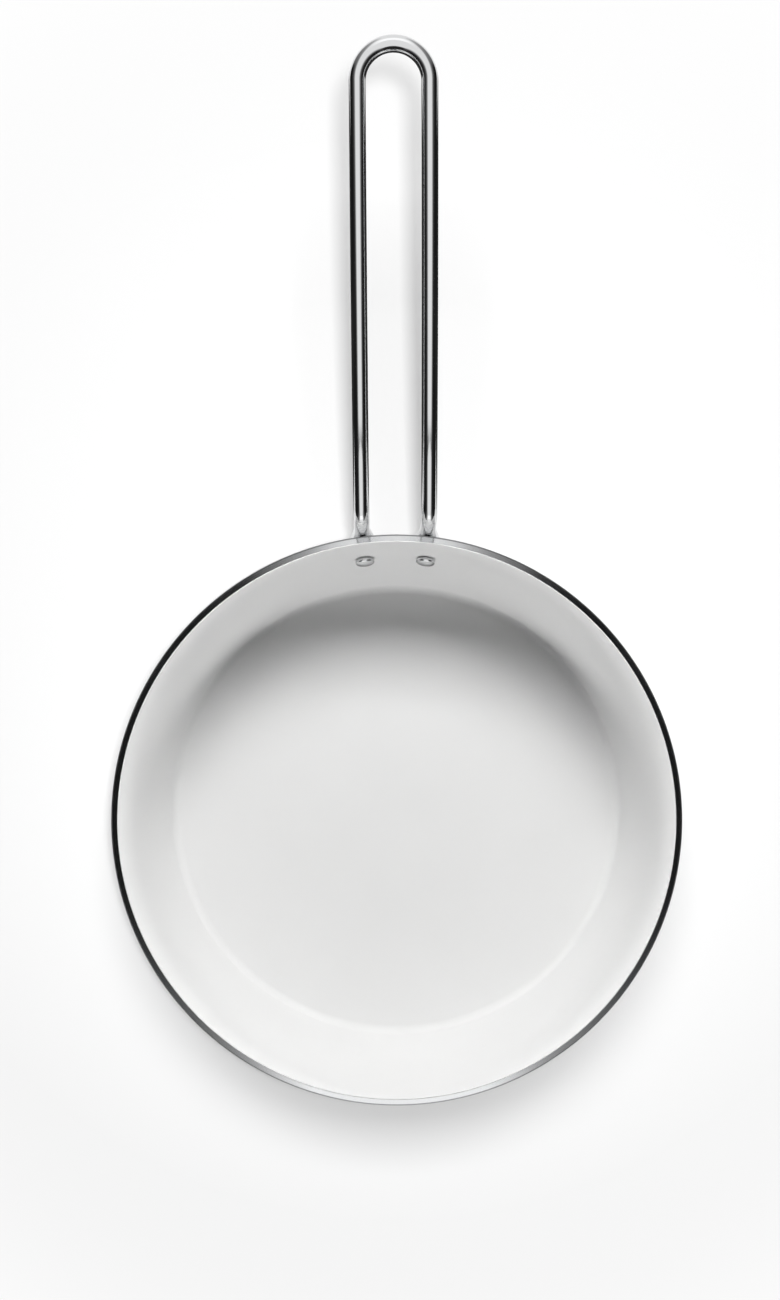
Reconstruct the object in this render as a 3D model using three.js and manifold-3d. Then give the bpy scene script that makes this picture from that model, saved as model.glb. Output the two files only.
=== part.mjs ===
// Saute pan: a clad bowl with a white ceramic lining and a riveted loop handle of round steel wire.
// Millimetres, +Z up, handle towards +Y. The origin is the centre of the underside, on the bowl's axis.
import * as THREE from "three";
import { mergeVertices } from "three/addons/utils/BufferGeometryUtils.js";
import Module from "manifold-3d";

const degree = Math.PI / 180;

// Bowl
const rimDiameter = 240;
const insideDepth = 60;
const insideCornerRadius = 4;
const wallLean = 14 * degree;
const rimBevel = 30 * degree;
const steelThickness = 0.6;
const aluminiumThickness = 2.5;
const ceramicThickness = 0.4;
const layerGap = 0.05;

// Handle
const wireDiameter = 6.5;
const legSpacing = 28;
const handleReach = 306;
const bendHeightOverRim = 8.5;
const bendRadius = 9;
const legRiseAtPan = 23 * degree;
const legRiseAtEnd = 6 * degree;
const paddleWidth = 11;
const paddleThickness = 2.6;
const paddleLength = 16;
const paddleBlendLength = 11;
const paddleEdgeSquareness = 0.55;
const wireToWallGap = 0.3;

// Rivets
const rivetDepthUnderRim = 19.5;
const shankDiameter = 5;
const headDiameter = 8.2;
const headHeight = 2.6;
const headEdgeHeight = 1.1;
const tailDiameter = 8;
const tailHeight = 1.5;
const tailEdgeHeight = 0.4;
const rivetSeatGap = 0.3;
const rivetHoleGap = 0.3;

// Facets
const bowlSides = 72;
const cornerSteps = 6;
const wireSides = 14;
const tipSteps = 4;
const blendSteps = 6;
const bendSteps = 6;
const legSteps = 10;
const loopSteps = 8;
const rivetSides = 24;
const domeSteps = 4;

const wasm = await Module();
wasm.setup();

// Closed three.js geometry as a solid that can be cut
function solidOf(geometry) {
  const bare = geometry.clone();
  bare.deleteAttribute("normal");
  bare.deleteAttribute("uv");
  const welded = mergeVertices(bare, 1e-4);
  const index = welded.index.array;
  const triangles = [];
  for (let i = 0; i < index.length; i += 3) {
    const [a, b, c] = index.subarray(i, i + 3);
    if (a !== b && b !== c && c !== a) {
      triangles.push(a, b, c);
    }
  }
  const vertProperties = new Float32Array(welded.attributes.position.array);
  return new wasm.Manifold(new wasm.Mesh({ numProp: 3, vertProperties, triVerts: new Uint32Array(triangles) }));
}

function geometryOf(solid) {
  const mesh = solid.getMesh();
  const geometry = new THREE.BufferGeometry();
  geometry.setAttribute("position", new THREE.BufferAttribute(mesh.vertProperties, 3));
  geometry.setIndex(new THREE.BufferAttribute(mesh.triVerts, 1));
  geometry.computeVertexNormals();
  return geometry;
}

// Profile of the bowl: a flat floor, a rounded corner and a wall that leans out to a bevelled rim edge.
// A depth into the wall counts from the inside face of the lining.
const coreStart = ceramicThickness + layerGap;
const coreEnd = coreStart + aluminiumThickness;
const steelStart = coreEnd + layerGap;
const bowlThickness = steelStart + steelThickness;
const rimHeight = bowlThickness + insideDepth;
const rimSlant = Math.cos(wallLean) * (1 + Math.tan(rimBevel) * Math.tan(wallLean));
const insideRimRadius = rimDiameter / 2 - bowlThickness / rimSlant;

function insideRadiusAt(height) {
  return insideRimRadius - (rimHeight - height) * Math.tan(wallLean);
}

const cornerTop = bowlThickness + insideCornerRadius * (1 - Math.sin(wallLean));
const cornerCentre = new THREE.Vector2(
  insideRadiusAt(cornerTop) - insideCornerRadius * Math.cos(wallLean),
  bowlThickness + insideCornerRadius,
);

function faceProfile(depth) {
  const radius = insideCornerRadius + depth;
  const points = [new THREE.Vector2(0, cornerCentre.y - radius)];
  for (let i = 0; i <= cornerSteps; i++) {
    const angle = THREE.MathUtils.lerp(-Math.PI / 2, -wallLean, i / cornerSteps);
    const arm = new THREE.Vector2(Math.cos(angle), Math.sin(angle));
    points.push(arm.multiplyScalar(radius).add(cornerCentre));
  }
  const edge = depth / rimSlant;
  points.push(new THREE.Vector2(insideRimRadius + edge, rimHeight - edge * Math.tan(rimBevel)));
  return points;
}

function bowlLayer(innerDepth, outerDepth) {
  const profile = [...faceProfile(outerDepth), ...faceProfile(innerDepth).reverse()];
  return new THREE.LatheGeometry(profile, bowlSides).rotateX(Math.PI / 2);
}

// Each rivet stands square to the wall, below the middle of a handle leg.
const wireRadius = wireDiameter / 2;
const legX = legSpacing / 2;
const rivetHeight = rimHeight - rivetDepthUnderRim;
const wireDepth = bowlThickness + wireToWallGap + wireRadius;
const rivetRadius = insideRadiusAt(rivetHeight);
const rivetAzimuth = Math.asin(legX / (rivetRadius + wireDepth * Math.cos(wallLean)));
const paddleInnerFace = bowlThickness + wireToWallGap;
const paddleOuterFace = paddleInnerFace + paddleThickness;

function wallNormal(side) {
  return new THREE.Vector3(
    side * Math.sin(rivetAzimuth) * Math.cos(wallLean),
    Math.cos(rivetAzimuth) * Math.cos(wallLean),
    -Math.sin(wallLean),
  );
}

function rivetFoot(side) {
  const x = side * rivetRadius * Math.sin(rivetAzimuth);
  return new THREE.Vector3(x, rivetRadius * Math.cos(rivetAzimuth), rivetHeight);
}

function rivetTurn(side) {
  return new THREE.Quaternion().setFromUnitVectors(new THREE.Vector3(0, 1, 0), wallNormal(side));
}

function rivetHole(side) {
  const radius = shankDiameter / 2 + rivetHoleGap;
  const length = 4 * paddleOuterFace;
  const hole = new THREE.CylinderGeometry(radius, radius, length, rivetSides);
  return solidOf(hole.applyQuaternion(rivetTurn(side)).translate(...rivetFoot(side).toArray()));
}

const rivetHoles = rivetHole(1).add(rivetHole(-1));

// Domed end of a rivet: from its rim at a height up or down to the crown on the axis
function domePoints(radius, edge, crown) {
  const points = [];
  for (let i = 0; i <= domeSteps; i++) {
    const angle = ((i / domeSteps) * Math.PI) / 2;
    points.push(new THREE.Vector2(radius * Math.cos(angle), edge + (crown - edge) * Math.sin(angle)));
  }
  points[domeSteps].x = 0;
  return points;
}

function rivetGeometry() {
  const headSeat = -rivetSeatGap;
  const tailSeat = paddleOuterFace + rivetSeatGap;
  const head = domePoints(headDiameter / 2, headSeat - headEdgeHeight, headSeat - headHeight).reverse();
  const tail = domePoints(tailDiameter / 2, tailSeat + tailEdgeHeight, tailSeat + tailHeight);
  const profile = [
    ...head,
    new THREE.Vector2(headDiameter / 2, headSeat),
    new THREE.Vector2(shankDiameter / 2, headSeat),
    new THREE.Vector2(shankDiameter / 2, tailSeat),
    new THREE.Vector2(tailDiameter / 2, tailSeat),
    ...tail,
  ];
  return new THREE.LatheGeometry(profile, rivetSides);
}

// Centre line of half the handle: up the wall, over a tight bend, along an arched leg and round a quarter of the loop
class ArcCurve extends THREE.Curve {
  constructor(start, heading, axis, radius, angle) {
    super();
    this.centre = new THREE.Vector3().crossVectors(axis, heading).multiplyScalar(radius).add(start);
    this.arm = new THREE.Vector3().subVectors(start, this.centre);
    this.axis = axis;
    this.angle = angle;
  }

  getPoint(t, target = new THREE.Vector3()) {
    return target.copy(this.arm).applyAxisAngle(this.axis, this.angle * t).add(this.centre);
  }
}

function along(point, direction, length) {
  return point.clone().addScaledVector(direction, length);
}

const wallRun = new THREE.Vector3(0, Math.sin(wallLean), Math.cos(rivetAzimuth) * Math.cos(wallLean)).normalize();
const legStartRun = new THREE.Vector3(0, Math.cos(legRiseAtPan), Math.sin(legRiseAtPan));
const legEndRun = new THREE.Vector3(0, Math.cos(legRiseAtEnd), Math.sin(legRiseAtEnd));

const wireAtRivet = along(rivetFoot(1), wallNormal(1), wireDepth);
const wireTip = along(wireAtRivet, wallRun, -paddleLength / 2);
const bendCorner = along(wireAtRivet, wallRun, (rimHeight + bendHeightOverRim - wireAtRivet.z) / wallRun.z);
const bendTurn = wallRun.angleTo(legStartRun);
const bendTangent = bendRadius * Math.tan(bendTurn / 2);
const bendStart = along(bendCorner, wallRun, -bendTangent);
const legStart = along(bendCorner, legStartRun, bendTangent);
const loopStartY = handleReach - wireRadius - legX * Math.cos(legRiseAtEnd);
const halfLegRun = (loopStartY - legStart.y) / 2;
const legMiddle = along(legStart, legStartRun, halfLegRun / Math.cos(legRiseAtPan));
const loopStart = along(legMiddle, legEndRun, halfLegRun / Math.cos(legRiseAtEnd));
const bendAxis = new THREE.Vector3().crossVectors(wallRun, legStartRun).normalize();
const loopAxis = new THREE.Vector3().crossVectors(legEndRun, new THREE.Vector3(-1, 0, 0)).normalize();

const bendPart = new ArcCurve(bendStart, wallRun, bendAxis, bendRadius, bendTurn);
const legPart = new THREE.QuadraticBezierCurve3(legStart, legMiddle, loopStart);
const loopPart = new ArcCurve(loopStart, legEndRun, loopAxis, legX, Math.PI / 2);

// Section of the wire at a distance from its tip: a flat paddle with a round end that swells to the full round wire
function wireSection(distance) {
  const blend = THREE.MathUtils.smoothstep(distance, paddleLength, paddleLength + paddleBlendLength);
  const tipRun = Math.max(0, paddleWidth / 2 - distance);
  const tipWidth = Math.sqrt((paddleWidth / 2) ** 2 - tipRun ** 2);
  return {
    halfWidth: THREE.MathUtils.lerp(tipWidth, wireRadius, blend),
    halfThickness: THREE.MathUtils.lerp(paddleThickness / 2, wireRadius, blend),
    squareness: THREE.MathUtils.lerp(paddleEdgeSquareness, 1, blend),
  };
}

function halfStations() {
  const stations = [];
  const wallDistances = [];
  for (let i = 0; i < tipSteps; i++) {
    const angle = (((i + 1) / (tipSteps + 1)) * Math.PI) / 2;
    wallDistances.push((paddleWidth / 2) * (1 - Math.cos(angle)));
  }
  wallDistances.push(paddleWidth / 2);
  for (let i = 0; i <= blendSteps; i++) {
    wallDistances.push(paddleLength + (i / blendSteps) * paddleBlendLength);
  }
  const wallLength = wireTip.distanceTo(bendStart);
  for (const distance of wallDistances) {
    stations.push({ point: along(wireTip, wallRun, distance), run: wallRun, distance });
  }
  const parts = [[bendPart, bendSteps], [legPart, legSteps], [loopPart, loopSteps]];
  for (const [part, steps] of parts) {
    const first = part === bendPart ? 0 : 1;
    for (let i = first; i <= steps; i++) {
      const t = i / steps;
      stations.push({ point: part.getPoint(t), run: part.getTangent(t), distance: wallLength });
    }
  }
  return stations;
}

// Points round one section. The side towards the wall stays flush, so a flatter section moves in to the wall.
function sectionRing(station, outward) {
  const { halfWidth, halfThickness, squareness } = wireSection(station.distance);
  const across = new THREE.Vector3().crossVectors(outward, station.run);
  const centre = along(station.point, outward, halfThickness - wireRadius);
  const ring = [];
  for (let i = 0; i < wireSides; i++) {
    const angle = ((i + 0.5) / wireSides) * 2 * Math.PI;
    const wide = Math.sign(Math.cos(angle)) * Math.abs(Math.cos(angle)) ** squareness;
    const thick = Math.sign(Math.sin(angle)) * Math.abs(Math.sin(angle)) ** squareness;
    ring.push(along(along(centre, across, wide * halfWidth), outward, thick * halfThickness));
  }
  return ring;
}

function handleGeometry() {
  const rings = [];
  const outward = wallNormal(1);
  for (const station of halfStations()) {
    outward.addScaledVector(station.run, -outward.dot(station.run)).normalize();
    rings.push(sectionRing(station, outward));
  }
  const mirrored = rings.slice(0, -1).reverse();
  for (const ring of mirrored) {
    rings.push(ring.map((point) => new THREE.Vector3(-point.x, point.y, point.z)));
  }
  const positions = rings.flat().flatMap((point) => point.toArray());
  const index = [];
  for (let r = 0; r + 1 < rings.length; r++) {
    for (let i = 0; i < wireSides; i++) {
      const a = r * wireSides + i;
      const b = r * wireSides + ((i + 1) % wireSides);
      index.push(a, b, b + wireSides, a, b + wireSides, a + wireSides);
    }
  }
  const last = (rings.length - 1) * wireSides;
  for (let i = 1; i + 1 < wireSides; i++) {
    index.push(0, i + 1, i);
    index.push(last, last + i, last + i + 1);
  }
  const geometry = new THREE.BufferGeometry();
  geometry.setAttribute("position", new THREE.Float32BufferAttribute(positions, 3));
  geometry.setIndex(index);
  return geometry;
}

// Materials
const steel = { color: 0xc9ccd0, metalness: 1, roughness: 0.18 };
const aluminium = { color: 0xd4d6d8, metalness: 1, roughness: 0.32 };
const ceramic = { color: 0xf1f1ef, metalness: 0, roughness: 0.42 };

function addPiece(group, name, geometry, look) {
  const mesh = new THREE.Mesh(geometry, new THREE.MeshStandardMaterial(look));
  mesh.name = name;
  group.add(mesh);
  return mesh;
}

// Assembly
const pan = new THREE.Group();
const bowl = new THREE.Group();
pan.add(bowl);
const layers = [
  ["outer_shell", steelStart, bowlThickness, steel],
  ["aluminium_core", coreStart, coreEnd, aluminium],
  ["ceramic_lining", 0, ceramicThickness, ceramic],
];
for (const [name, innerDepth, outerDepth, look] of layers) {
  const layer = solidOf(bowlLayer(innerDepth, outerDepth)).subtract(rivetHoles);
  addPiece(bowl, name, geometryOf(layer), look);
}

addPiece(pan, "handle_wire", geometryOf(solidOf(handleGeometry()).subtract(rivetHoles)), steel);

for (const [name, side] of [["rivet_left", -1], ["rivet_right", 1]]) {
  const rivet = addPiece(pan, name, rivetGeometry(), steel);
  rivet.position.copy(rivetFoot(side));
  rivet.quaternion.copy(rivetTurn(side));
}

export default pan;
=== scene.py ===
# Saute pan: a clad bowl with a white ceramic lining and a riveted loop handle of round steel wire.
# Metres, +Z up, handle towards +Y. The origin is the centre of the underside, on the bowl's axis.
import math

import bmesh
import bpy
from mathutils import Matrix, Vector


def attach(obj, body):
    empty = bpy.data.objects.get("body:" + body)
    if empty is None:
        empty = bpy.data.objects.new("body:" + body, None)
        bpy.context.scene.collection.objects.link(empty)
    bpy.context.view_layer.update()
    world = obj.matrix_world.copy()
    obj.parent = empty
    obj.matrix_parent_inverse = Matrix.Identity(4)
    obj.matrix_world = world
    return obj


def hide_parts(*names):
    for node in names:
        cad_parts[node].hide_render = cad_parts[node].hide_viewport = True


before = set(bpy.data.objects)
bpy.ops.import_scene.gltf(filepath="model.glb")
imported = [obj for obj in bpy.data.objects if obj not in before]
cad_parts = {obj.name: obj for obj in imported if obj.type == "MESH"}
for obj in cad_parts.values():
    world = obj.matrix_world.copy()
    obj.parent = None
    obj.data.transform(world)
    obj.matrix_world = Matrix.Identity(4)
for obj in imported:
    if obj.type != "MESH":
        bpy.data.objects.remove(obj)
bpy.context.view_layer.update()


# Outer shell: the stainless steel skin of the bowl, outside and underneath.
# The bowl is drawn from one sheet of steel and aluminium, so the skin is bonded to the core all over.
# Its outside is spun to a satin of fine rings, and its edge is ground off with the bevel of the rim.
# The colour of that edge is halved: a painted dark line that stands in for the dark reflection round the
# rim.
rim_radius = 0.120
inside_depth = 0.060
corner_radius = 0.004
wall_lean = math.radians(14)
rim_bevel = math.radians(30)
steel_thickness = 0.0006
aluminium_thickness = 0.0025
ceramic_thickness = 0.0004
layer_gap = 0.00005
shell_outer_edge = 0.00018
shell_inner_edge = 0.00004
bowl_sides = 288
floor_rings = 6
corner_steps = 32
wall_rings = 10
edge_steps = 5
guard_reach = 1.5
sharp_angle = math.radians(35)
steel_dark = (0.50, 0.51, 0.52)
steel_light = (0.68, 0.685, 0.69)
steel_anisotropy = 0.45
# Share of the steel's colour left on the rim's edge: a painted dark line for the dark reflection there.
painted_edge_shade = 0.5

core_start = ceramic_thickness + layer_gap
core_end = core_start + aluminium_thickness
steel_start = core_end + layer_gap
bowl_thickness = steel_start + steel_thickness
rim_height = bowl_thickness + inside_depth
# Depth into the wall for each step outwards along the bevel of the rim.
rim_slant = math.cos(wall_lean) * (1 + math.tan(rim_bevel) * math.tan(wall_lean))
inside_rim_radius = rim_radius - bowl_thickness / rim_slant
shell_edge_height = rim_height - bowl_thickness / rim_slant * math.tan(rim_bevel)
painted_edge_start = shell_edge_height - shell_outer_edge


def inside_radius_at(height):
    """Radius of the inside of the wall at a height."""
    return inside_rim_radius - (rim_height - height) * math.tan(wall_lean)


corner_top = bowl_thickness + corner_radius * (1 - math.sin(wall_lean))
corner_centre = Vector((
    inside_radius_at(corner_top) - corner_radius * math.cos(wall_lean),
    bowl_thickness + corner_radius,
))


def face_outline(depth):
    """Points of a face of the bowl, from its axis to the rim, at a depth into the wall from the inside."""
    radius = corner_radius + depth
    points = []
    for i in range(floor_rings):
        points.append(Vector((corner_centre.x * i / floor_rings, corner_centre.y - radius)))
    for i in range(corner_steps + 1):
        share = i / corner_steps
        angle = -math.pi / 2 * (1 - share) - wall_lean * share
        points.append(corner_centre + radius * Vector((math.cos(angle), math.sin(angle))))
    edge = depth / rim_slant
    rim = Vector((inside_rim_radius + edge, rim_height - edge * math.tan(rim_bevel)))
    wall_foot = points[-1]
    for i in range(1, wall_rings + 1):
        points.append(wall_foot.lerp(rim, i / wall_rings))
    return points


def eased_corner(before, corner, after, radius):
    """A round edge in place of a corner of an outline, with a guard point on either side of it."""
    to_before = (before - corner).normalized()
    to_after = (after - corner).normalized()
    half = to_before.angle(to_after) / 2
    run = radius / math.tan(half)
    centre = corner + (to_before + to_after).normalized() * radius / math.sin(half)
    first_arm = (corner + to_before * run - centre).normalized()
    last_arm = (corner + to_after * run - centre).normalized()
    points = [corner + to_before * run * guard_reach]
    for i in range(edge_steps + 1):
        points.append(centre + first_arm.slerp(last_arm, i / edge_steps) * radius)
    points.append(corner + to_after * run * guard_reach)
    return points


def layer_outline(inner_depth, outer_depth, inner_edge, outer_edge):
    """Outline of a layer of the bowl: from the axis up its outer face, over the rim and down again."""
    outer = face_outline(outer_depth)
    inner = face_outline(inner_depth)
    rim = eased_corner(outer[-2], outer[-1], inner[-1], outer_edge)
    rim += eased_corner(outer[-1], inner[-1], inner[-2], inner_edge)
    return outer[:-1] + rim + inner[-2::-1]


def join_rings(shape, rings):
    """Faces between each ring of points and the next. A ring on the axis is one point, repeated."""
    for ring, following in zip(rings, rings[1:]):
        for i in range(len(ring)):
            j = (i + 1) % len(ring)
            corners = dict.fromkeys((ring[i], ring[j], following[j], following[i]))
            shape.faces.new(tuple(corners))


def object_from(name, shape):
    """An object with the mesh of a shape, in the scene."""
    mesh = bpy.data.meshes.new(name)
    shape.to_mesh(mesh)
    shape.free()
    made = bpy.data.objects.new(name, mesh)
    bpy.context.scene.collection.objects.link(made)
    return made


def piece_from(name, shape):
    """A piece of the pan from a closed shape, with its faces turned outwards."""
    bmesh.ops.recalc_face_normals(shape, faces=shape.faces)
    return object_from(name, shape)


def turned_piece(name, outline, sides):
    """A piece turned about the upright axis from an outline that starts and ends on that axis."""
    shape = bmesh.new()
    rings = []
    for radius, height in outline:
        if radius == 0:
            rings.append([shape.verts.new((0, 0, height))] * sides)
            continue
        ring = []
        for i in range(sides):
            angle = 2 * math.pi * i / sides
            ring.append(shape.verts.new((radius * math.cos(angle), radius * math.sin(angle), height)))
        rings.append(ring)
    join_rings(shape, rings)
    return piece_from(name, shape)


def feed(tree, socket, value):
    """Lead another node's output to an input, or set a plain value on it."""
    if isinstance(value, bpy.types.NodeSocket):
        tree.links.new(value, socket)
    else:
        socket.default_value = value


def node_in(tree, kind, *values, **settings):
    """A node with settings on the inputs or properties they name, and values on its inputs in order."""
    node = tree.nodes.new(kind)
    for name, value in settings.items():
        # Blender writes the name of an input with capitals and spaces, such as From Min.
        socket = node.inputs.get(name.replace("_", " ").title())
        if socket is None:
            setattr(node, name, value)
        else:
            feed(tree, socket, value)
    for socket, value in zip(node.inputs, values):
        feed(tree, socket, value)
    return node


def reckoned(tree, operation, *values):
    """A number worked out from other values."""
    return node_in(tree, "ShaderNodeMath", *values, operation=operation).outputs["Value"]


def place_on_piece(tree):
    """The place of a point, measured from the origin of its piece."""
    return node_in(tree, "ShaderNodeTexCoord").outputs["Object"]


def height_on_piece(tree):
    """The height of a point over the origin of its piece."""
    return node_in(tree, "ShaderNodeSeparateXYZ", place_on_piece(tree)).outputs["Z"]


def group_of(name, inputs, outputs):
    """An empty node group with number inputs and outputs, and the sockets of its two end nodes."""
    tree = bpy.data.node_groups.new(name, "ShaderNodeTree")
    for label, value in inputs.items():
        socket = tree.interface.new_socket(label, in_out="INPUT", socket_type="NodeSocketFloat")
        socket.default_value = value
    for label in outputs:
        tree.interface.new_socket(label, in_out="OUTPUT", socket_type="NodeSocketFloat")
    return tree, tree.nodes.new("NodeGroupInput").outputs, tree.nodes.new("NodeGroupOutput").inputs


def make_spun_rings():
    """Fine rings round the upright axis, as a tool or an abrasive belt leaves on a turning piece."""
    level_only = (1, 1, 0)
    tree, given, result = group_of("spun_rings", {"Rings Per Metre": 3000, "Waver": 0.3}, ["Ring"])
    place = place_on_piece(tree)
    level = node_in(tree, "ShaderNodeVectorMath", place, level_only, operation="MULTIPLY").outputs["Vector"]
    radius = node_in(tree, "ShaderNodeVectorMath", level, operation="LENGTH").outputs["Value"]
    run = reckoned(tree, "ADD", radius, height_on_piece(tree))
    count = reckoned(tree, "MULTIPLY", run, given["Rings Per Metre"])
    waver = node_in(tree, "ShaderNodeTexNoise", vector=place, scale=14, detail=1).outputs["Fac"]
    sway = reckoned(tree, "MULTIPLY_ADD", waver, given["Waver"], count)
    rings = node_in(
        tree,
        "ShaderNodeTexNoise",
        noise_dimensions="1D",
        w=sway,
        scale=1,
        detail=3,
        roughness=0.6,
    )
    tree.links.new(rings.outputs["Fac"], result["Ring"])
    return tree


def make_handling_haze():
    """Soft patches where a surface was wiped and held, from none to full."""
    tree, given, result = group_of("handling_haze", {"Patch Size": 0.03}, ["Haze"])
    patches = node_in(
        tree,
        "ShaderNodeTexNoise",
        vector=place_on_piece(tree),
        scale=reckoned(tree, "DIVIDE", 1, given["Patch Size"]),
        detail=4,
        roughness=0.55,
        distortion=0.6,
    )
    edge = node_in(tree, "ShaderNodeMapRange", value=patches.outputs["Fac"], from_min=0.42, from_max=0.68)
    tree.links.new(edge.outputs["Result"], result["Haze"])
    return tree


spun_rings = make_spun_rings()
handling_haze = make_handling_haze()


def rings_on(tree, rings_per_metre, waver):
    """The spun rings of a material."""
    group = node_in(
        tree,
        "ShaderNodeGroup",
        node_tree=spun_rings,
        rings_per_metre=rings_per_metre,
        waver=waver,
    )
    return group.outputs["Ring"]


def haze_on(tree, patch_size):
    """The haze of a material."""
    group = node_in(tree, "ShaderNodeGroup", node_tree=handling_haze, patch_size=patch_size)
    return group.outputs["Haze"]


def tint_by(tree, pattern, dark, light):
    """A colour that goes from dark to light as a pattern goes from 0 to 1."""
    ramp = node_in(tree, "ShaderNodeValToRGB", pattern)
    ramp.color_ramp.elements[0].color = (*dark, 1)
    ramp.color_ramp.elements[1].color = (*light, 1)
    return ramp.outputs["Color"]


def spread(tree, pattern, low, high):
    """A number that goes from low to high as a pattern goes from 0 to 1."""
    return node_in(tree, "ShaderNodeMapRange", value=pattern, to_min=low, to_max=high).outputs["Result"]


def roughness_by(tree, pattern, low, high, haze, hazed):
    """A roughness that goes from low to high over a pattern, and is more by up to hazed in the haze."""
    return reckoned(tree, "ADD", spread(tree, pattern, low, high), spread(tree, haze, 0, hazed))


def relief(tree, height, distance, strength):
    """A surface normal raised by a height."""
    bump = node_in(tree, "ShaderNodeBump", height=height, distance=distance, strength=strength)
    return bump.outputs["Normal"]


def new_finish(name, metallic):
    """A material with its tree and its Principled shader."""
    material = bpy.data.materials.new(name)
    material.use_nodes = True
    shader = material.node_tree.nodes["Principled BSDF"]
    shader.inputs["Metallic"].default_value = metallic
    return material, material.node_tree, shader


def lay_finish(tree, shader, colour, roughness, normal):
    """Lead a colour, a roughness and a relief to a shader."""
    tree.links.new(colour, shader.inputs["Base Color"])
    tree.links.new(roughness, shader.inputs["Roughness"])
    tree.links.new(normal, shader.inputs["Normal"])


def satin_steel():
    """Steel with the fine rings of spinning, and a painted dark line on its edge at the rim."""
    material, tree, shader = new_finish("spun_satin_steel", metallic=1)
    shader.inputs["Anisotropic"].default_value = steel_anisotropy
    turning = node_in(tree, "ShaderNodeTangent", direction_type="RADIAL", axis="Z").outputs["Tangent"]
    rings = rings_on(tree, rings_per_metre=4200, waver=0.6)
    haze = haze_on(tree, patch_size=0.035)
    # Painted shade: the colour fades to half from the outer corner of the rim upwards, a dark line in place
    # of a reflection.
    shade = node_in(
        tree,
        "ShaderNodeMapRange",
        value=height_on_piece(tree),
        from_min=painted_edge_start,
        from_max=shell_edge_height,
        to_min=1,
        to_max=painted_edge_shade,
    )
    colour = node_in(
        tree,
        "ShaderNodeVectorMath",
        operation="SCALE",
        vector=tint_by(tree, rings, steel_dark, steel_light),
        scale=shade.outputs["Result"],
    )
    roughness = roughness_by(tree, rings, low=0.20, high=0.36, haze=haze, hazed=0.05)
    normal = relief(tree, rings, distance=0.00002, strength=0.35)
    lay_finish(tree, shader, colour.outputs["Vector"], roughness, normal)
    tree.links.new(turning, shader.inputs["Tangent"])
    return material


def smooth(mesh):
    """Smooth faces, up to the sharp edges."""
    mesh.shade_smooth()
    mesh.set_sharp_from_angle(angle=sharp_angle)


def finish_piece(piece, node, material):
    """The finish of a piece and its place in the assembly."""
    smooth(piece.data)
    piece.data.materials.append(material)
    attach(piece, "root")
    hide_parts(node)


shell_outline = layer_outline(steel_start, bowl_thickness, shell_inner_edge, shell_outer_edge)
shell = turned_piece("steel_shell", shell_outline, bowl_sides)
finish_piece(shell, "outer_shell", satin_steel())


# Aluminium core: the thick layer between skin and lining, which spreads the heat over floor and wall.
# Rolled sheet, bonded to the steel before drawing. Only its edge shows, turned bright on the rim's bevel.
core_edge = 0.00005
aluminium_dark = (0.60, 0.61, 0.62)
aluminium_light = (0.76, 0.765, 0.77)


def turned_aluminium():
    """Aluminium with the close rings of a turning tool."""
    material, tree, shader = new_finish("turned_aluminium", metallic=1)
    rings = rings_on(tree, rings_per_metre=9000, waver=0.4)
    haze = haze_on(tree, patch_size=0.012)
    colour = tint_by(tree, rings, aluminium_dark, aluminium_light)
    roughness = roughness_by(tree, rings, low=0.12, high=0.22, haze=haze, hazed=0.04)
    normal = relief(tree, rings, distance=0.00001, strength=0.3)
    lay_finish(tree, shader, colour, roughness, normal)
    return material


core_outline = layer_outline(core_start, core_end, core_edge, core_edge)
core = turned_piece("aluminium_core_layer", core_outline, bowl_sides)
finish_piece(core, "aluminium_core", turned_aluminium())


# Ceramic lining: the white non-stick layer on the inside of the bowl.
# Sprayed on the core in thin coats and fired, so it is satin with a faint peel, and rounds over at the rim.
lining_inner_edge = 0.00012
lining_outer_edge = 0.00003
ceramic_dark = (0.745, 0.745, 0.742)
ceramic_light = (0.775, 0.775, 0.772)
ceramic_specular = 0.3


def make_sprayed_peel():
    """The soft ripple and the slow change of tone of a coat that was sprayed on and fired."""
    sizes = {"Peel Size": 0.0015, "Cloud Size": 0.04}
    tree, given, result = group_of("sprayed_peel", sizes, ["Peel", "Cloud"])
    place = place_on_piece(tree)
    for size, output, detail in (("Peel Size", "Peel", 2), ("Cloud Size", "Cloud", 3)):
        scale = reckoned(tree, "DIVIDE", 1, given[size])
        noise = node_in(tree, "ShaderNodeTexNoise", vector=place, scale=scale, detail=detail, roughness=0.5)
        tree.links.new(noise.outputs["Fac"], result[output])
    return tree


sprayed_peel = make_sprayed_peel()


def white_ceramic():
    """Satin white, clouded a little, with the peel of the spray."""
    material, tree, shader = new_finish("satin_white_ceramic", metallic=0)
    shader.inputs["Specular IOR Level"].default_value = ceramic_specular
    coat = node_in(tree, "ShaderNodeGroup", node_tree=sprayed_peel, peel_size=0.0012, cloud_size=0.035)
    peel = coat.outputs["Peel"]
    haze = haze_on(tree, patch_size=0.05)
    colour = tint_by(tree, coat.outputs["Cloud"], ceramic_dark, ceramic_light)
    roughness = roughness_by(tree, peel, low=0.50, high=0.56, haze=haze, hazed=0.04)
    normal = relief(tree, peel, distance=0.00003, strength=0.25)
    lay_finish(tree, shader, colour, roughness, normal)
    return material


lining_outline = layer_outline(0, ceramic_thickness, lining_inner_edge, lining_outer_edge)
lining = turned_piece("ceramic_lining_layer", lining_outline, bowl_sides)
finish_piece(lining, "ceramic_lining", white_ceramic())


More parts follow.
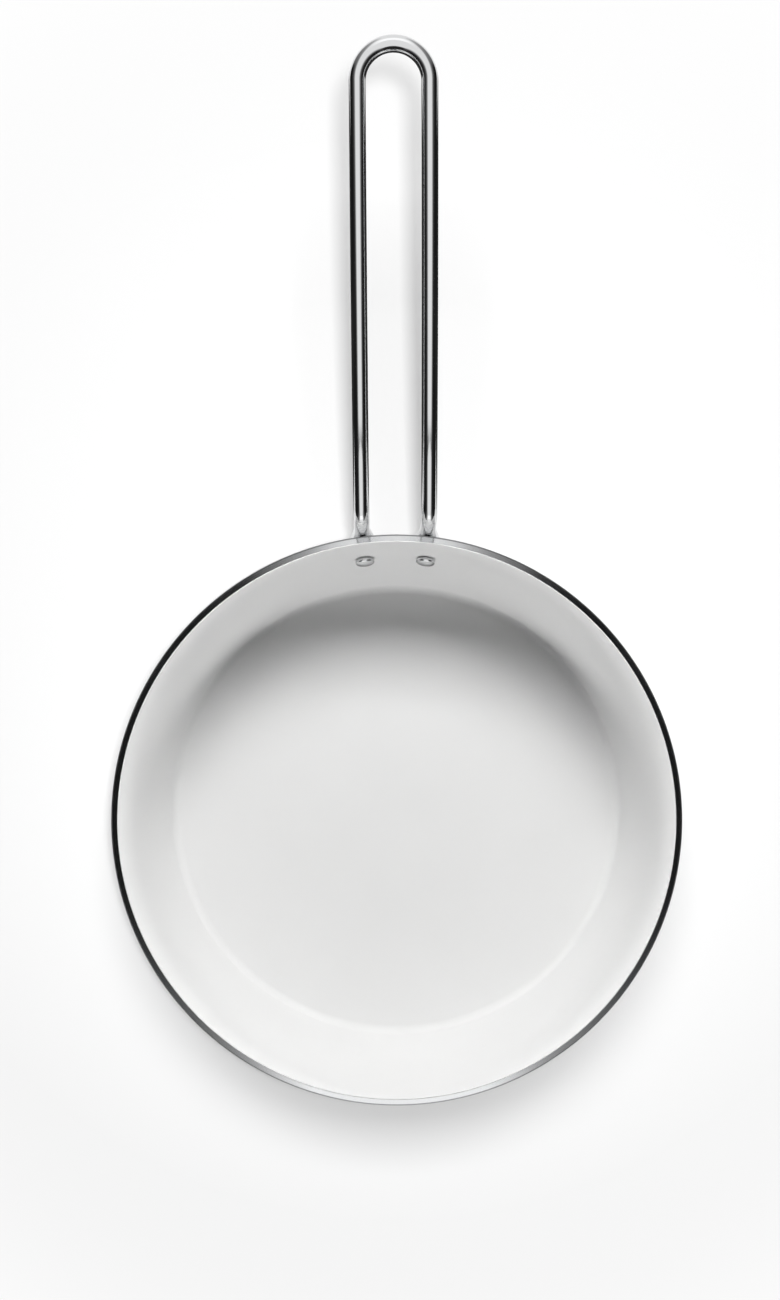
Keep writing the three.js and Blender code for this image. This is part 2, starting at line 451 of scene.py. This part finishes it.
# Handle: one length of round stainless wire, bent to a long loop whose two legs rise away from the pan.
# Each end is bent down at the rim and pressed flat to a paddle, which lies on the outside of the wall.
# The wire is drawn through a die, which leaves fine lines along it, and then polished.
wire_diameter = 0.0065
leg_spacing = 0.028
handle_reach = 0.306
bend_height_over_rim = 0.0085
bend_radius = 0.009
leg_rise_at_pan = math.radians(23)
leg_rise_at_end = math.radians(6)
paddle_width = 0.011
paddle_thickness = 0.0026
paddle_length = 0.016
paddle_blend_length = 0.011
paddle_edge_squareness = 0.55
wire_to_wall_gap = 0.0003
rivet_depth_under_rim = 0.0195
wire_sides = 40
tip_steps = 12
paddle_steps = 8
blend_steps = 16
wall_steps = 6
bend_steps = 28
leg_steps = 90
loop_steps = 40
wire_dark = (0.64, 0.645, 0.65)
wire_light = (0.76, 0.765, 0.77)
drawn_lines_per_metre = (2600, 2600, 40)

wire_radius = wire_diameter / 2
leg_x = leg_spacing / 2
rivet_height = rim_height - rivet_depth_under_rim
rivet_radius = inside_radius_at(rivet_height)
wire_depth = bowl_thickness + wire_to_wall_gap + wire_radius
rivet_azimuth = math.asin(leg_x / (rivet_radius + wire_depth * math.cos(wall_lean)))


def wall_normal(side):
    """Outward direction of the wall where the right (1) or left (-1) rivet goes through."""
    around = Vector((side * math.sin(rivet_azimuth), math.cos(rivet_azimuth), 0))
    return around * math.cos(wall_lean) - Vector((0, 0, math.sin(wall_lean)))


def rivet_foot(side):
    """Point on the inside face of the lining on the axis of a rivet."""
    x = side * rivet_radius * math.sin(rivet_azimuth)
    return Vector((x, rivet_radius * math.cos(rivet_azimuth), rivet_height))


def distances_on_wall(wall_length):
    """Distances from the tip of the wire to the sections of its straight end, which lies on the wall."""
    distances = []
    for i in range(1, tip_steps + 1):
        distances.append(paddle_width / 2 * (1 - math.cos(math.pi / 2 * i / tip_steps)))
    stretches = (
        (paddle_width / 2, paddle_length, paddle_steps),
        (paddle_length, paddle_length + paddle_blend_length, blend_steps),
        (paddle_length + paddle_blend_length, wall_length, wall_steps),
    )
    for first, last, steps in stretches:
        for i in range(1, steps + 1):
            distances.append(first + (last - first) * i / steps)
    return distances


def arc_of(start, heading, axis, radius, angle, steps):
    """Points and directions on an arc that starts along a heading and turns about an axis."""
    centre = start + axis.cross(heading) * radius
    found = []
    for i in range(1, steps + 1):
        turn = Matrix.Rotation(angle * i / steps, 3, axis)
        found.append((centre + turn @ (start - centre), turn @ heading))
    return found


def leg_of(start, middle, end):
    """Points and directions along a leg, which leaves its start towards the middle and eases to its end."""
    found = []
    for i in range(1, leg_steps + 1):
        t = i / leg_steps
        point = start * (1 - t) ** 2 + middle * 2 * t * (1 - t) + end * t**2
        heading = (middle - start).lerp(end - middle, t).normalized()
        found.append((point, heading))
    return found


def measured(route, travelled):
    """A route with the distance from the tip at each point. The first point's distance is given."""
    stations = []
    previous = route[0][0]
    for point, heading in route:
        travelled += (point - previous).length
        stations.append((point, heading, travelled))
        previous = point
    return stations


def half_route():
    """Points, directions and distances from the tip along the centre line of the right half of the wire."""
    run_up = Vector((0, math.sin(wall_lean), math.cos(rivet_azimuth) * math.cos(wall_lean))).normalized()
    run_out = Vector((0, math.cos(leg_rise_at_pan), math.sin(leg_rise_at_pan)))
    run_end = Vector((0, math.cos(leg_rise_at_end), math.sin(leg_rise_at_end)))
    at_rivet = rivet_foot(1) + wall_normal(1) * wire_depth
    tip = at_rivet - run_up * paddle_length / 2
    bend_corner = at_rivet + run_up * (rim_height + bend_height_over_rim - at_rivet.z) / run_up.z
    turn = run_up.angle(run_out)
    tangent = bend_radius * math.tan(turn / 2)
    bend_start = bend_corner - run_up * tangent
    bend_axis = run_up.cross(run_out).normalized()
    leg_start = bend_corner + run_out * tangent
    loop_start_y = handle_reach - wire_radius - leg_x * math.cos(leg_rise_at_end)
    half_run = (loop_start_y - leg_start.y) / 2
    leg_middle = leg_start + run_out * half_run / math.cos(leg_rise_at_pan)
    loop_start = leg_middle + run_end * half_run / math.cos(leg_rise_at_end)
    loop_axis = run_end.cross(Vector((-1, 0, 0))).normalized()

    distances = distances_on_wall((bend_start - tip).length)
    route = [(tip + run_up * distance, run_up) for distance in distances]
    route += arc_of(bend_start, run_up, bend_axis, bend_radius, turn, bend_steps)
    route += leg_of(leg_start, leg_middle, loop_start)
    route += arc_of(loop_start, run_end, loop_axis, leg_x, math.pi / 2, loop_steps)
    return measured(route, distances[0])


def wire_section(distance):
    """Half width, half thickness and squareness of the wire at a distance from its tip."""
    share = min(max((distance - paddle_length) / paddle_blend_length, 0), 1)
    blend = share * share * (3 - 2 * share)
    tip_run = max(0, paddle_width / 2 - distance)
    tip_width = math.sqrt((paddle_width / 2) ** 2 - tip_run**2)
    half_width = tip_width + (wire_radius - tip_width) * blend
    half_thickness = paddle_thickness / 2 + (wire_radius - paddle_thickness / 2) * blend
    return half_width, half_thickness, paddle_edge_squareness + (1 - paddle_edge_squareness) * blend


def superellipse(angle, power):
    """Signed powers of the cosine and sine, which make a round section flatter."""
    wide = math.copysign(abs(math.cos(angle)) ** power, math.cos(angle))
    thick = math.copysign(abs(math.sin(angle)) ** power, math.sin(angle))
    return wide, thick


def half_wire():
    """Rings of points of the right half of the wire, and marks of their places round and along it."""
    rings = []
    marks = []
    outward = wall_normal(1)
    for point, heading, travelled in half_route():
        outward = (outward - heading * outward.dot(heading)).normalized()
        across = outward.cross(heading)
        half_width, half_thickness, squareness = wire_section(travelled)
        centre = point + outward * (half_thickness - wire_radius)
        ring = []
        ring_marks = []
        for i in range(wire_sides):
            # The points start half a side round, so that a flat side of the section faces the wall.
            angle = 2 * math.pi * (i + 0.5) / wire_sides
            wide, thick = superellipse(angle, squareness)
            ring.append(centre + across * wide * half_width + outward * thick * half_thickness)
            ring_marks.append((wire_radius * math.cos(angle), wire_radius * math.sin(angle), travelled))
        rings.append(ring)
        marks.append(ring_marks)
    return rings, marks


def wire_piece():
    """The whole wire, a half and its mirror image, whose points keep their marks for the drawn lines."""
    rings, marks = half_wire()
    whole = 2 * marks[-1][0][2]
    for ring, ring_marks in zip(rings[-2::-1], marks[-2::-1]):
        rings.append([Vector((-point.x, point.y, point.z)) for point in ring])
        marks.append([(wide, thick, whole - travelled) for wide, thick, travelled in ring_marks])
    shape = bmesh.new()
    loops = [[shape.verts.new(point) for point in ring] for ring in rings]
    join_rings(shape, loops)
    shape.faces.new(loops[0])
    shape.faces.new(loops[-1])
    piece = piece_from("wire_loop_handle", shape)
    drawn = piece.data.attributes.new("drawn", "FLOAT_VECTOR", "POINT")
    in_one_row = [value for ring_marks in marks for mark in ring_marks for value in mark]
    drawn.data.foreach_set("vector", in_one_row)
    return piece


def polished_wire():
    """Polished steel with fine lines along the wire."""
    material, tree, shader = new_finish("polished_drawn_wire", metallic=1)
    place = node_in(tree, "ShaderNodeAttribute", attribute_name="drawn").outputs["Vector"]
    stretched = node_in(tree, "ShaderNodeVectorMath", place, drawn_lines_per_metre, operation="MULTIPLY")
    noise = node_in(
        tree,
        "ShaderNodeTexNoise",
        vector=stretched.outputs["Vector"],
        scale=1,
        detail=3,
        roughness=0.6,
    )
    lines = noise.outputs["Fac"]
    haze = haze_on(tree, patch_size=0.018)
    colour = tint_by(tree, lines, wire_dark, wire_light)
    roughness = roughness_by(tree, lines, low=0.06, high=0.12, haze=haze, hazed=0.03)
    normal = relief(tree, lines, distance=0.000004, strength=0.3)
    lay_finish(tree, shader, colour, roughness, normal)
    return material


handle = wire_piece()
finish_piece(handle, "handle_wire", polished_wire())


# Rivets: two solid stainless rivets that hold the paddles to the wall, through holes in all of them.
# The domed heads are set from the inside, and the tails are upset on the paddles to low buttons.
# Both ends are polished.
shank_radius = 0.0025
head_radius = 0.0041
head_crown = 0.0029
head_edge_height = 0.0014
head_undercut = 0.0006
head_seat_radius = 0.0029
tail_radius = 0.0040
tail_crown = 0.0083
tail_edge_height = 0.0007
seat_gap = 0.00002
rivet_edge = 0.0002
hole_gap = 0.00005
rivet_sides = 64
dome_steps = 14
rivet_dark = (0.54, 0.545, 0.55)
rivet_light = (0.66, 0.665, 0.67)

paddle_outer_face = bowl_thickness + wire_to_wall_gap + paddle_thickness
drill_reach = 2 * paddle_outer_face


def dome(radius, edge, crown):
    """Points of a domed end, from its rim to the crown on the axis."""
    points = []
    for i in range(dome_steps):
        angle = math.pi / 2 * i / dome_steps
        points.append(Vector((radius * math.cos(angle), edge + (crown - edge) * math.sin(angle))))
    points.append(Vector((0, crown)))
    return points


def rivet_outline():
    """Outline of a rivet from the crown of its head to the crown of its tail. Heights run outwards."""
    tail_seat = paddle_outer_face + seat_gap
    head = dome(head_radius, -head_edge_height, -head_crown)[::-1]
    head_foot = Vector((head_radius, -head_undercut))
    seat_edge = Vector((head_seat_radius, -seat_gap))
    under_head = Vector((shank_radius, -seat_gap))
    under_tail = Vector((shank_radius, tail_seat))
    tail_foot = Vector((tail_radius, tail_seat))
    tail = dome(tail_radius, tail_seat + tail_edge_height, tail_crown)
    return (
        head
        + eased_corner(head[-1], head_foot, seat_edge, rivet_edge)
        + [seat_edge, under_head, under_tail]
        + eased_corner(under_tail, tail_foot, tail[0], rivet_edge)
        + tail
    )


def rivet_place(side):
    """Matrix that stands a rivet square to the wall, its axis outwards."""
    turn = Vector((0, 0, 1)).rotation_difference(wall_normal(side)).to_matrix().to_4x4()
    return Matrix.Translation(rivet_foot(side)) @ turn


def drill(piece, side):
    """Cut the hole of a rivet through a piece."""
    radius = shank_radius + hole_gap
    corners = ((0, -drill_reach), (radius, -drill_reach), (radius, drill_reach), (0, drill_reach))
    bit = turned_piece("drill_bit", corners, rivet_sides)
    bit.matrix_world = rivet_place(side)
    cut = piece.modifiers.new("rivet_hole", "BOOLEAN")
    cut.operation = "DIFFERENCE"
    cut.solver = "EXACT"
    cut.object = bit
    bpy.context.view_layer.update()
    drilled = bpy.data.meshes.new_from_object(piece.evaluated_get(bpy.context.evaluated_depsgraph_get()))
    piece.modifiers.remove(cut)
    smooth(drilled)
    piece.data = drilled
    bpy.data.objects.remove(bit)


def polished_rivet():
    """Polished steel with faint rings, a little uneven."""
    material, tree, shader = new_finish("polished_rivet_steel", metallic=1)
    rings = rings_on(tree, rings_per_metre=6000, waver=0.8)
    haze = haze_on(tree, patch_size=0.002)
    colour = tint_by(tree, rings, rivet_dark, rivet_light)
    roughness = roughness_by(tree, rings, low=0.06, high=0.12, haze=haze, hazed=0.05)
    normal = relief(tree, haze, distance=0.00002, strength=0.2)
    lay_finish(tree, shader, colour, roughness, normal)
    return material


rivet_finish = polished_rivet()
rivets = []
for side, node in ((-1, "rivet_left"), (1, "rivet_right")):
    for piece in (shell, core, lining, handle):
        drill(piece, side)
    rivet = turned_piece(node + "_domed", rivet_outline(), rivet_sides)
    rivet.matrix_world = rivet_place(side)
    bpy.context.view_layer.update()
    finish_piece(rivet, node, rivet_finish)
    rivets.append(rivet)


# Floor: a plain white table, a sheet of smooth board that keeps the pan's shadow.
# Far from the pan it turns to even white, so that it has no edge against the background.
floor_corner = Vector((-3, -3, -0.0003))
floor_length = Vector((6, 0, 0))
floor_width = Vector((0, 6, 0))
floor_middle = (0, 0.06, 0)
floor_fade_start = 0.25
floor_fade_end = 0.37
floor_lift = 0.15
board_colour = (0.5, 0.5, 0.5, 1)
white = (1, 1, 1, 1)


def bare_material(name):
    """A material with no shader yet, its tree and the socket of its surface."""
    material, tree, shader = new_finish(name, metallic=0)
    tree.nodes.remove(shader)
    return material, tree, tree.nodes["Material Output"].inputs["Surface"]


def glow(tree, colour, strength):
    """Light of a colour that a surface gives out by itself."""
    return node_in(tree, "ShaderNodeEmission", color=colour, strength=strength).outputs["Emission"]


def mixed(tree, share, first, second):
    """A surface that goes from the first to the second as a share goes from 0 to 1."""
    return node_in(tree, "ShaderNodeMixShader", share, first, second).outputs["Shader"]


def seen_by_eye_or_mirror(tree):
    """1 on rays from the camera, from a reflection or through glass, and 0 on the rest."""
    path = node_in(tree, "ShaderNodeLightPath").outputs
    mirror = reckoned(tree, "MAXIMUM", path["Is Glossy Ray"], path["Is Transmission Ray"])
    return reckoned(tree, "MAXIMUM", path["Is Camera Ray"], mirror)


def white_board():
    """Board that turns to even white with the distance from the pan, and is clear from below."""
    material, tree, surface = bare_material("white_board")
    away = node_in(tree, "ShaderNodeVectorMath", place_on_piece(tree), floor_middle, operation="DISTANCE")
    fade = node_in(
        tree,
        "ShaderNodeMapRange",
        value=away.outputs["Value"],
        from_min=floor_fade_start,
        from_max=floor_fade_end,
    )
    board = node_in(tree, "ShaderNodeBsdfDiffuse", color=board_colour).outputs["BSDF"]
    lift = glow(tree, white, strength=floor_lift)
    lifted = node_in(tree, "ShaderNodeAddShader", board, lift).outputs["Shader"]
    shown = mixed(tree, fade.outputs["Result"], lifted, glow(tree, white, strength=1))
    front = mixed(tree, seen_by_eye_or_mirror(tree), board, shown)
    clear = node_in(tree, "ShaderNodeBsdfTransparent").outputs["BSDF"]
    below = node_in(tree, "ShaderNodeNewGeometry").outputs["Backfacing"]
    tree.links.new(mixed(tree, below, front, clear), surface)
    return material


def flat_sheet(name, start, along, up, material):
    """A flat sheet beside the pan, from one corner along two edges. Its places run from 0 to 1."""
    shape = bmesh.new()
    corners = (start, start + along, start + along + up, start + up)
    face = shape.faces.new([shape.verts.new(corner) for corner in corners])
    places = shape.loops.layers.uv.new("places")
    for corner, place in zip(face.loops, ((0, 0), (1, 0), (1, 1), (0, 1))):
        corner[places].uv = place
    sheet = object_from(name, shape)
    sheet.data.materials.append(material)
    return sheet


table = flat_sheet("table_board", floor_corner, floor_length, floor_width, white_board())


# Lamps: a large soft box behind the handle, and low strips all round whose light passes over the rim.
# Two strips just over the rim light the top of the wall at left and right, and a spot the bowl's floor.
# A small lamp and a soft one light the table alone, and give the handle and the bowl their shadows.
lamp_target = Vector((0, 0, 0.03))
key_azimuth = 4
key_elevation = 47
key_distance = 0.8
key_size = (0.5, 0.27)
key_power = 6.5
strip_elevation = 16.3
strip_distance = 1.3
strip_size = (0.6, 0.024)
strip_powers = (0.2, 0.9, 1.9, 0.4, 7.6, 0.4, 1.9, 1.1)
side_strip_azimuths = (90, 270)
side_strip_elevation = 2.2
side_strip_size = (0.6, 0.08)
side_strip_power = 4.5
spot_place = Vector((0, -0.018, 0.9))
spot_angle = math.radians(15)
spot_power = 5.0
small_lamp_place = Vector((0.035, 0.062, 0.85))
small_lamp_size = (0.065, 0.065)
small_lamp_power = 6.2
table_box_elevation = 64
table_box_distance = 2.6
table_box_size = (1.3, 0.9)
table_box_power = 66


def round_the_pan(azimuth, elevation, distance):
    """Place of a lamp. Azimuth turns from +Y towards +X, in degrees."""
    way = Vector((0, math.cos(math.radians(elevation)), math.sin(math.radians(elevation))))
    return lamp_target + Matrix.Rotation(math.radians(-azimuth), 3, "Z") @ way * distance


def point_under(place):
    """The point at table height straight under a lamp."""
    return Vector((place.x, place.y, 0))


def lit_alone(name, things):
    """A collection for lamps that light these things and nothing else."""
    collection = bpy.data.collections.new(name)
    for thing in things:
        collection.objects.link(thing)
    return collection


def hang_lamp(lamp, place, target, power, receivers):
    """Hang a lamp at a place, aimed at a target, out of sight. It lights its receivers, or all if None."""
    lamp.energy = power
    hung = bpy.data.objects.new(lamp.name, lamp)
    hung.location = place
    hung.rotation_euler = (target - place).to_track_quat("-Z", "Y").to_euler()
    hung.visible_camera = False
    hung.visible_glossy = False
    hung.light_linking.receiver_collection = receivers
    bpy.context.scene.collection.objects.link(hung)


def soft_box(name, place, target, size, power, receivers):
    """Hang a rectangular lamp."""
    lamp = bpy.data.lights.new(name, "AREA")
    lamp.shape = "RECTANGLE"
    lamp.size, lamp.size_y = size
    hang_lamp(lamp, place, target, power, receivers)


def floor_spot():
    """Hang the round spot over the bowl, which lights all under it and fades to its edge."""
    lamp = bpy.data.lights.new("floor_spot", "SPOT")
    lamp.spot_size = spot_angle
    lamp.spot_blend = 1
    hang_lamp(lamp, spot_place, point_under(spot_place), spot_power, None)


pan_alone = lit_alone("pan_alone", [shell, core, lining, handle, *rivets])
table_alone = lit_alone("table_alone", [table])
key_place = round_the_pan(key_azimuth, key_elevation, key_distance)
soft_box("key_box", key_place, lamp_target, key_size, key_power, pan_alone)
for i, power in enumerate(strip_powers):
    place = round_the_pan(360 * i / len(strip_powers), strip_elevation, strip_distance)
    soft_box("strip_" + str(i), place, lamp_target, strip_size, power, pan_alone)
rim_lift = Vector((0, 0, rim_height - lamp_target.z))
for azimuth in side_strip_azimuths:
    place = round_the_pan(azimuth, side_strip_elevation, strip_distance) + rim_lift
    name = "side_strip_" + str(azimuth)
    soft_box(name, place, lamp_target + rim_lift, side_strip_size, side_strip_power, pan_alone)
floor_spot()
small_lamp_target = point_under(small_lamp_place)
soft_box("small_lamp", small_lamp_place, small_lamp_target, small_lamp_size, small_lamp_power, table_alone)
table_box_place = round_the_pan(0, table_box_elevation, table_box_distance)
soft_box("table_box", table_box_place, lamp_target, table_box_size, table_box_power, table_alone)


# Cards: sheets of dark and bright paper round the pan, which only reflections see.
# They draw the dark and the light bands along the polished wire and round the rim.
black_paper = 0.012
dark_paper = 0.02
mat_paper = 0.03
bright_paper = 1.4


def card_paper(name, grey, soft_edges, nearest, bounces):
    """Paper with soft edges, seen from beyond a distance and up to a number of bounces from the camera."""
    material, tree, surface = bare_material(name)
    path = node_in(tree, "ShaderNodeLightPath").outputs
    far_enough = reckoned(tree, "GREATER_THAN", path["Ray Length"], nearest)
    soon_enough = reckoned(tree, "LESS_THAN", path["Ray Depth"], bounces + 1)
    cover = reckoned(tree, "MULTIPLY", far_enough, soon_enough)
    place = node_in(tree, "ShaderNodeTexCoord").outputs["UV"]
    shares = node_in(tree, "ShaderNodeSeparateXYZ", place).outputs
    start, end, bottom, top = soft_edges
    edges = (("X", 0, start), ("X", 1, 1 - end), ("Y", 0, bottom), ("Y", 1, 1 - top))
    for axis, clear_at, full_at in edges:
        if clear_at == full_at:
            continue
        edge = node_in(
            tree,
            "ShaderNodeMapRange",
            interpolation_type="SMOOTHSTEP",
            value=shares[axis],
            from_min=clear_at,
            from_max=full_at,
        )
        cover = reckoned(tree, "MULTIPLY", edge.outputs["Result"], cover)
    clear = node_in(tree, "ShaderNodeBsdfTransparent").outputs["BSDF"]
    paper = glow(tree, (grey, grey, grey, 1), strength=1)
    tree.links.new(mixed(tree, cover, clear, paper), surface)
    return material


def place_card(name, start, along, up, grey, soft_edges, nearest=0, bounces=1):
    """Place a card. Its soft edges are shares of it at the start, the end, the bottom and the top."""
    paper = card_paper(name + "_paper", grey, soft_edges, nearest, bounces)
    card = flat_sheet(name, Vector(start), Vector(along), Vector(up), paper)
    card.visible_camera = False
    card.visible_diffuse = False
    card.visible_shadow = False
    card.visible_transmission = False


for side, word in ((-1, "left"), (1, "right")):
    place_card(
        word + "_card",
        start=(side * 0.30, -1.15, 0),
        along=(0, 3.05, 0),
        up=(0, 0, 0.85),
        grey=black_paper,
        soft_edges=(0.36, 0.6, 0, 0.6),
    )
    place_card(
        "loop_card_" + word,
        start=(side * 0.29, 0.16, 0),
        along=(0, 0.36, 0),
        up=(0, 0, 0.38),
        grey=black_paper,
        soft_edges=(0.2, 0.2, 0, 0.5),
        bounces=2,
    )
place_card(
    "front_card",
    start=(-0.25, 0, 0.05),
    along=(0.5, 0, 0),
    up=(0, 0, 0.33),
    grey=dark_paper,
    soft_edges=(0.3, 0.3, 0, 0.2),
    nearest=0.295,
)
place_card(
    "handle_mat",
    start=(-0.30, 0.12, 0.0005),
    along=(0.6, 0, 0),
    up=(0, 0.24, 0),
    grey=mat_paper,
    soft_edges=(0, 0, 0.1, 0.1),
    nearest=0.07,
    bounces=2,
)
place_card(
    "back_card",
    start=(-0.25, 0.75, 0.36),
    along=(0.5, 0, 0),
    up=(0, 0, 0.84),
    grey=bright_paper,
    soft_edges=(0.35, 0.35, 0.15, 0.2),
)
place_card(
    "bright_card",
    start=(-0.5, -0.9, 0.25),
    along=(1.0, 0, 0),
    up=(0, 0, 0.4),
    grey=bright_paper,
    soft_edges=(0.1, 0.1, 0.1, 0.1),
)


# Room: even white to the camera and to reflections, and dim for all other light.
# So the background is white without more light on the pan.
room_light = 0.03

room = bpy.data.worlds.new("white_room")
room.use_nodes = True
room_tree = room.node_tree
white_room = room_tree.nodes["Background"]
white_room.inputs["Color"].default_value = white
white_room.inputs["Strength"].default_value = 1
dim_room = node_in(room_tree, "ShaderNodeBackground", color=white, strength=room_light)
surroundings = mixed(
    room_tree,
    seen_by_eye_or_mirror(room_tree),
    dim_room.outputs["Background"],
    white_room.outputs["Background"],
)
room_tree.links.new(surroundings, room_tree.nodes["World Output"].inputs["Surface"])
bpy.context.scene.world = room
bpy.context.scene.view_settings.view_transform = "Standard"


# Camera: straight above the pan, at arm's length, between the bowl and the handle.
# The picture is a crop, so the lens is shifted a little towards the handle.
camera_place = Vector((-0.00255, 0.05344, 0.70914))
camera_turn = math.radians(-0.294)
camera_lens = 42.67
camera_shift = 0.03296

camera_data = bpy.data.cameras.new("camera")
camera_data.lens = camera_lens
camera_data.shift_y = camera_shift
camera = bpy.data.objects.new("camera", camera_data)
camera.location = camera_place
camera.rotation_euler = (0, 0, camera_turn)
bpy.context.scene.collection.objects.link(camera)
bpy.context.scene.camera = camera
